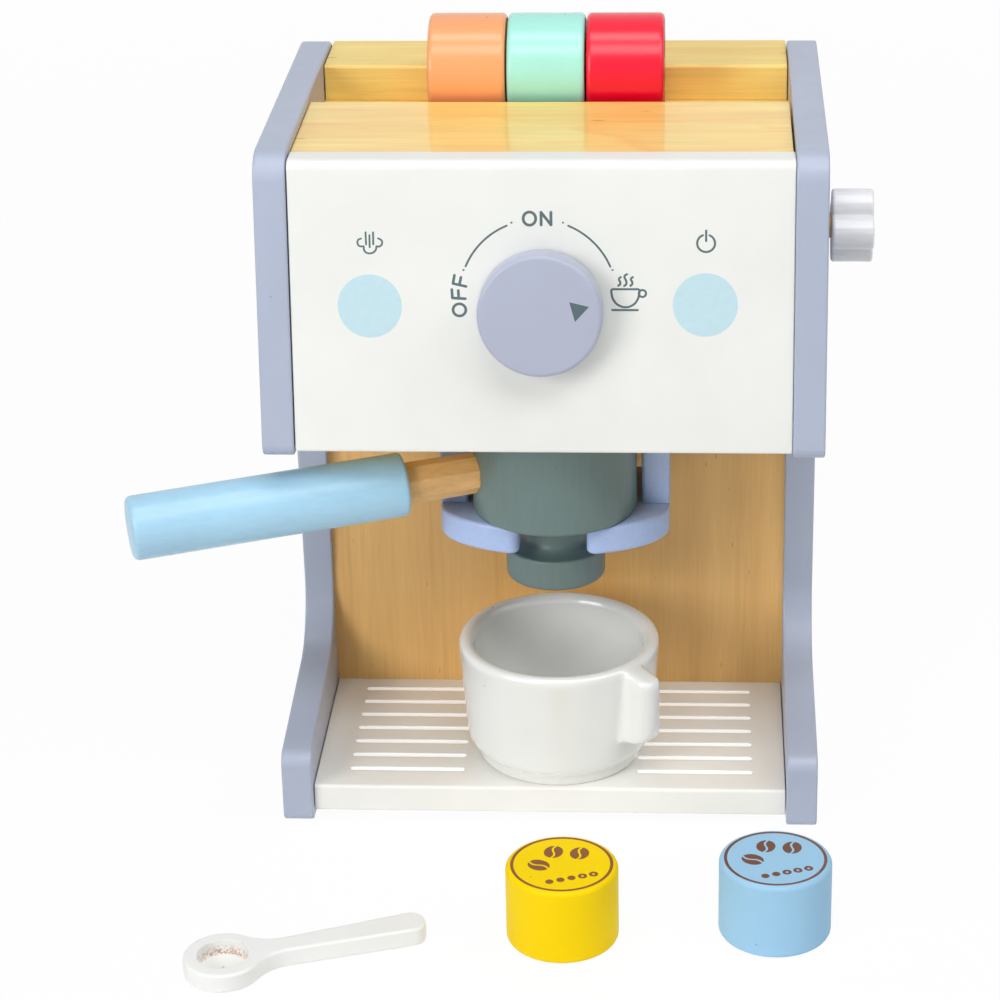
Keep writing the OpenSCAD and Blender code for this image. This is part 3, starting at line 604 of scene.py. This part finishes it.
def cross_screw(x, z, turn):
    """A countersunk cross-head screw in the rear cover, its face just proud of the veneer."""
    bpy.ops.mesh.primitive_cylinder_add(vertices=32, radius=screw_radius, depth=screw_depth)
    head = bpy.context.object
    add_modifier(head, "BEVEL", width=0.3 * MM, segments=2, limit_method="ANGLE")
    for quarter in (0, 90):
        bpy.ops.mesh.primitive_cube_add(size=MM, location=(0, 0, screw_depth / 2))
        cut = bpy.context.object
        cut.data.transform(Matrix.Rotation(math.radians(quarter), 4, "Z")
                           @ Matrix.Diagonal((0.62, 3.0, 1.5, 1.0)))
        add_modifier(head, "BOOLEAN", operation="DIFFERENCE", object=cut, solver="EXACT")
        bpy.data.objects.remove(cut)
    shade_soft(head, 30)
    middle = cover_high[1] + screw_proud - screw_depth / 2
    head.data.transform(Matrix.Translation((x, middle, z))
                        @ Matrix.Rotation(math.radians(-90), 4, "X")
                        @ Matrix.Rotation(math.radians(turn), 4, "Z"))
    return head


def joined(pieces, name):
    """The pieces made one, under this name."""
    select_only(*pieces)
    bpy.ops.object.join()
    pieces[0].name = name
    return pieces[0]


from_side, from_end = 8 * MM, 9 * MM
screws = [cross_screw(x, z, turn) for x, z, turn in (
    (cover_low[0] + from_side, cover_low[2] + from_end, 20),
    (cover_high[0] - from_side, cover_low[2] + from_end, 63),
    (cover_low[0] + from_side, cover_high[2] - from_end, 41),
    (cover_high[0] - from_side, cover_high[2] - from_end, 5))]
cover_screws = joined(screws, "cover_screws")
steel, shader, add, link, place = new_material("zinc_screw")
brushed = add("TexNoise", {"Vector": place, "Scale": 900.0, "Detail": 2.0}, out=0)
zinc = add("MixRGB", {"Fac": brushed, "Color1": tone(118, 116, 110), "Color2": tone(160, 156, 148)})
link(zinc, shader.inputs["Base Color"])
link(spread(add, brushed, 0.3, 0.7, 0.28, 0.45), shader.inputs["Roughness"])
shader.inputs["Metallic"].default_value = 1.0
dress(cover_screws, steel)
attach(cover_screws, "machine")


# ---- Drip tray ----
# A board of fibreboard with two fields of slots routed through it, sprayed cream like the
# front panel. It sits between the side panels. White strips lie in the slots and glow a
# little: painted light that keeps the slots bright in the shade.
tray_cream = toy_paint("tray_cream", tone(246, 245, 240), gloss=0.22, peel=0.8, dust=0.06,
                       coat=0.2)
sanded_copy("drip_tray", "tray_board", "machine", tray_cream, "cream_paint", edge=0.3, sharp=50)
tray_low, tray_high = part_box("drip_tray")
slot_length, slot_width = 36.94, 2.34
slot_rows, first_row, row_pitch, field_middle = 7, 11.4, 9.1, 46.2


def glowing_slot_strips(name, depth, thick):
    """One round-ended strip for each slot, its top lying depth (mm) below the tray's top."""
    bpy.ops.mesh.primitive_cube_add(size=MM)
    strip = bpy.context.object
    strip.data.transform(Matrix.Diagonal((slot_length, slot_width, thick, 1.0)))
    edit_all(strip)
    bpy.ops.mesh.select_all(action="DESELECT")
    edges = bmesh.from_edit_mesh(strip.data)
    for edge in edges.edges:
        a, b = (v.co for v in edge.verts)
        edge.select = abs(a.x - b.x) < 1e-6 and abs(a.y - b.y) < 1e-6
    bmesh.update_edit_mesh(strip.data)
    bpy.ops.mesh.bevel(offset=slot_width * 0.499 * MM, segments=8)
    bpy.ops.object.mode_set(mode="OBJECT")
    middle = (tray_low[0] + tray_high[0]) / 2
    strips = []
    for side in (-1, 1):
        for row in range(slot_rows):
            copy = bpy.data.objects.new(name, strip.data.copy())
            bpy.context.scene.collection.objects.link(copy)
            copy.data.transform(Matrix.Translation((
                middle + side * field_middle * MM,
                tray_low[1] + (first_row + row_pitch * row) * MM,
                tray_high[2] - (depth + thick / 2) * MM)))
            strips.append(copy)
    bpy.data.objects.remove(strip)
    return joined(strips, name)


slot_glow_white, shader, add, link, place = new_material("slot_glow_white")
mottle = add("TexNoise", {"Vector": place, "Scale": 700.0, "Detail": 2.0}, out=0)
slot_tone = add("MixRGB", {"Fac": mottle, "Color1": tone(250, 250, 248),
                           "Color2": tone(254, 254, 253)})
link(slot_tone, shader.inputs["Base Color"])
shader.inputs["Roughness"].default_value = 0.3
# Painted light: the strips glow a little, so they stay white under the housing's shade.
shader.inputs["Emission Color"].default_value = (1.0, 1.0, 1.0, 1.0)
shader.inputs["Emission Strength"].default_value = 0.3
glowing_strips = glowing_slot_strips("glowing_slot_strips", 0.25, 0.6)
dress(glowing_strips, slot_glow_white)
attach(glowing_strips, "machine")


# ---- Holder ----
# A fork of solid wood hangs from two uprights under the housing floor, glued and painted
# periwinkle blue. The portafilter's neck slides into the slot between its arms.
periwinkle = toy_paint("periwinkle_paint", tone(176, 197, 239), gloss=0.38, peel=1.1,
                       fibre=0.4, along=(1.0, 0.08, 1.0))
for side in ("left", "right"):
    sanded_copy("holder_" + side + "_upright", "fork_" + side + "_leg", "machine", periwinkle,
                "periwinkle_paint", edge=0.2, sharp=80)
sanded_copy("holder_fork", "fork_plate", "machine", periwinkle, "periwinkle_paint")


# ---- Portafilter ----
# Turned hardwood: the block, the neck and the spout ring are painted grey-green, the handle's
# neck is bare beech, and the grip is painted light blue.
grey_green = toy_paint("grey_green_paint", tone(105, 126, 123), gloss=0.40, peel=1.2,
                       fibre=0.35, along=(1.0, 1.0, 0.08), dust=0.25)
grip_blue = toy_paint("light_blue_paint", tone(170, 214, 239), gloss=0.32, peel=1.2,
                      fibre=0.3, along=(0.2, 0.5, 1.0))
for node, name, paint, slot in (
        ("portafilter_block", "filter_block", grey_green, "grey_green_paint"),
        ("portafilter_spout", "spout_ring", grey_green, "grey_green_paint"),
        ("portafilter_grip", "grip", grip_blue, "light_blue_paint")):
    sanded_copy(node, name, "portafilter", paint, slot)
dress(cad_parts["portafilter_stem"], pine_wood(
    "bare_beech", (10, 60), tone(248, 198, 130), tone(214, 156, 92), ring=2.2, contrast=0.4,
    lacquer=0.15))


# ---- Knobs ----
# The control knob and the steam knob are turned and shaped wood on beech axles, held inside
# the housing by glued collars. The control knob has a printed pointer.
knob_paint = toy_paint("knob_lavender", tone(176, 182, 201), gloss=0.34, peel=1.4, dust=0.2)
sanded_copy("control_knob", "turning_knob", "knob_turning", knob_paint, "lavender_paint")
beech_rod = veneer("beech_rod", tone(214, 170, 112), tone(186, 138, 84), along=(1.0, 0.04, 1.0))
for node in ("control_knob_axle", "control_knob_collar", "steam_knob_axle",
             "steam_knob_collar"):
    dress(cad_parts[node], beech_rod)
silver = toy_paint("silver_paint", tone(246, 246, 248), gloss=0.36, peel=1.6, dust=0.0,
                   fibre=0.5, along=(0.1, 1.0, 1.0))
silver.node_tree.nodes["Principled BSDF"].inputs["Metallic"].default_value = 0.05
dress(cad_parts["steam_knob"], silver)
knob_height = 9.8 * MM
knob_face = on_panel @ Matrix.Translation((0, 0, knob_height))
pointer = [(8.85, 4.6), (14.65, 3.2), (10.5, -1.4)]
ink_shapes("knob_pointer", [pointer], knob_face, printed("pointer_ink", (82, 100, 108)),
           "knob_turning", "lavender_paint")


# ---- Cup ----
# Turned from solid wood, with a lug for a handle glued on, under thick glossy white paint.
# The paint rounds every edge and fills the corner between the lug and the cup.
gloss_white = toy_paint("gloss_white_paint", tone(244, 245, 242), gloss=0.22, peel=1.6,
                        coat=0.8, dust=0.04, radius=0.3)
cup = sanded_copy("coffee_cup", "cup", "cup", gloss_white, "gloss_white_paint")
add_modifier(cup, "REMESH", mode="VOXEL", voxel_size=0.6 * MM, use_smooth_shade=True)
add_modifier(cup, "SMOOTH", factor=0.5, iterations=18)
cup_low, cup_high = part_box("coffee_cup")
cup_radius, lug_from, lug_blend = 32 * MM, 31.6 * MM, 1.2 * MM
cup_axis = Vector((cup_low[0] + cup_radius, cup_high[1] - cup_radius, 0))
lug = cup.vertex_groups.new(name="lug")
for v in cup.data.vertices:
    away = (Vector((v.co.x, v.co.y, 0)) - cup_axis).length
    if away > lug_from:
        lug.add([v.index], min(1.0, (away - lug_from) / lug_blend), "REPLACE")
add_modifier(cup, "SMOOTH", factor=0.5, iterations=30, vertex_group="lug")
add_modifier(cup, "DISPLACE", strength=0.28 * MM, mid_level=0.0)


# ---- Capsules ----
# Turned wooden drums, painted, with a printed ring, beans and dots on one end. Three glossier
# ones lie in the channel on top, and two matt ones stand on the floor.
capsule_paints = {
    "peach": ("stored_peach", "peach_paint", tone(255, 172, 114)),
    "mint": ("stored_mint", "mint_paint", tone(172, 240, 226)),
    "red": ("stored_red", "red_paint", tone(243, 0, 50)),
    "yellow": ("loose_yellow", "yellow_paint", tone(255, 218, 0)),
    "blue": ("loose_blue", "sky_paint", tone(163, 208, 238)),
}
for hue, (body, slot, colour) in capsule_paints.items():
    gloss, mirror = (0.25, 0.50) if body.startswith("stored") else (0.5, 0.12)
    sanded_copy("capsule_" + hue, hue + "_drum", body, toy_paint(
        slot, colour, gloss, peel=0.6, fibre=0.1, dust=0.12, mirror=mirror, highlight_gain=1.04,
        even=0.92), slot)


bean_length, bean_width, bean_crease, crease_bow, crease_gap = 6.9, 5.7, 6.6, 0.55, 0.68


def bean(x, y, turn):
    """Two printed halves of a coffee bean, with an S-shaped crease left bare between them."""
    c, s = math.cos(math.radians(turn)), math.sin(math.radians(turn))
    halves = []
    for side in (1, -1):
        rim = [(bean_length / 2 * math.cos(a), side * bean_width / 2 * math.sin(a))
               for a in (0.13 + 0.1802 * i for i in range(17))]
        crease = [(bean_crease / 2 * t, crease_bow * math.sin(math.pi * t) + side * crease_gap / 2)
                  for t in (-1 + i / 8 for i in range(17))]
        halves.append([(x + c * u - s * v, y + s * u + c * v) for u, v in rim + crease])
    return halves


dots_middle, dots_pitch, dots_turn = (3.2, -7.8), 3.4, math.radians(19.7)


def strength_dots(filled):
    """Five dots in a row for how strong the coffee is: so many solid, the others open."""
    spots = [(dots_middle[0] + math.cos(dots_turn) * dots_pitch * i,
              dots_middle[1] + math.sin(dots_turn) * dots_pitch * i) for i in range(-2, 3)]
    return spots[:filled], spots[filled:]


print_radius, print_width, dot_radius = 14.83, 0.95, 1.22
brown_ink, orange_ink = printed("brown_ink", (112, 72, 56)), printed("ochre_ink", (140, 84, 42))
for hue, filled in (("peach", 4), ("mint", 1), ("red", 5), ("yellow", 3), ("blue", 2)):
    body, slot, _ = capsule_paints[hue]
    (x0, y0, z0), (x1, y1, z1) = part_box("capsule_" + hue)
    if body.startswith("loose"):
        end = Matrix.Translation(((x0 + x1) / 2, (y0 + y1) / 2, z1))
    else:
        end = Matrix.Translation((x1, (y0 + y1) / 2, (z0 + z1) / 2)) @ Matrix(
            ((0, 0, 1), (1, 0, 0), (0, 1, 0))).to_4x4()
    solid, hollow = strength_dots(filled)
    capsule_ink = orange_ink if hue == "yellow" else brown_ink
    ink_lines("print_ring_" + hue, [("ring", oval(0, 0, print_radius, print_radius, steps=64))]
              + [("ring", oval(x, y, 0.9, 0.9, steps=16)) for x, y in hollow],
              print_width, end, capsule_ink, body, slot)
    beans = bean(-2.75, 6.7, 80) + bean(5.05, 6.1, 80) + bean(-6.8, -0.9, 149)
    dots = [oval(x, y, dot_radius, dot_radius, steps=24) for x, y in solid]
    ink_shapes("print_beans_" + hue, beans + dots, end, capsule_ink, body, slot)


# ---- Measuring spoon ----
# Sawn from plywood, edges rounded, painted white. The cutter left a fuzzy brown ring at the
# bottom of the hollow, where the paint is thin.
spoon_white = toy_paint("white_paint", tone(246, 247, 244), gloss=0.34, peel=1.2, dust=0.03)
sanded_copy("measuring_spoon", "spoon_body", "spoon", spoon_white, "white_paint",
            edge=0.25, sharp=60)


def cutter_marks(material, middle, radius, depth):
    """Fuzzy brown fibres in a ring round middle, and the drill's point in the middle."""
    add = wire(material)
    shader = material.node_tree.nodes["Principled BSDF"]
    paint = shader.inputs["Base Color"].links[0].from_socket
    place = add("TexCoord", out="Object")
    off = add("VectorMath", {0: place, 1: middle}, operation="SUBTRACT")
    x, y, z = (add("SeparateXYZ", {"Vector": off}, out=i) for i in range(3))
    away = add("VectorMath", {0: add("CombineXYZ", {"X": x, "Y": y, "Z": 0.0})}, out="Value",
               operation="LENGTH")
    fuzz = add("TexNoise", {"Vector": place, "Scale": 1400.0, "Detail": 3.0}, out=0)
    deep = spread(add, z, depth * 0.25, depth * 0.75, 1.0, 0.0)
    ring = spread(add, away, radius - 0.9 * MM, radius - 0.1 * MM, 0.0, 1.0)
    inside = spread(add, away, radius + 0.2 * MM, radius + 0.5 * MM, 1.0, 0.0)
    ring = add("Math", {0: ring, 1: inside}, operation="MULTIPLY")
    point = spread(add, away, 0.75 * MM, 0.35 * MM, 0.0, 0.9)
    mark = add("Math", {0: ring, 1: point}, operation="MAXIMUM")
    mark = add("Math", {0: mark, 1: deep}, operation="MULTIPLY")
    mark = add("Math", {0: mark, 1: spread(add, fuzz, 0.42, 0.62, 0.0, 0.85)},
               operation="MULTIPLY")
    stained = add("MixRGB", {"Fac": mark, "Color1": paint, "Color2": tone(190, 140, 104)})
    material.node_tree.links.new(stained, shader.inputs["Base Color"])


spoon_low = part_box("measuring_spoon")[0]
bowl_radius, hollow_floor, hollow_radius, hollow_depth = 11.8 * MM, 1.5 * MM, 7.5 * MM, 4.5 * MM
hollow_middle = (spoon_low[0] + bowl_radius, spoon_low[1] + bowl_radius, hollow_floor)
cutter_marks(spoon_white, hollow_middle, hollow_radius, hollow_depth)
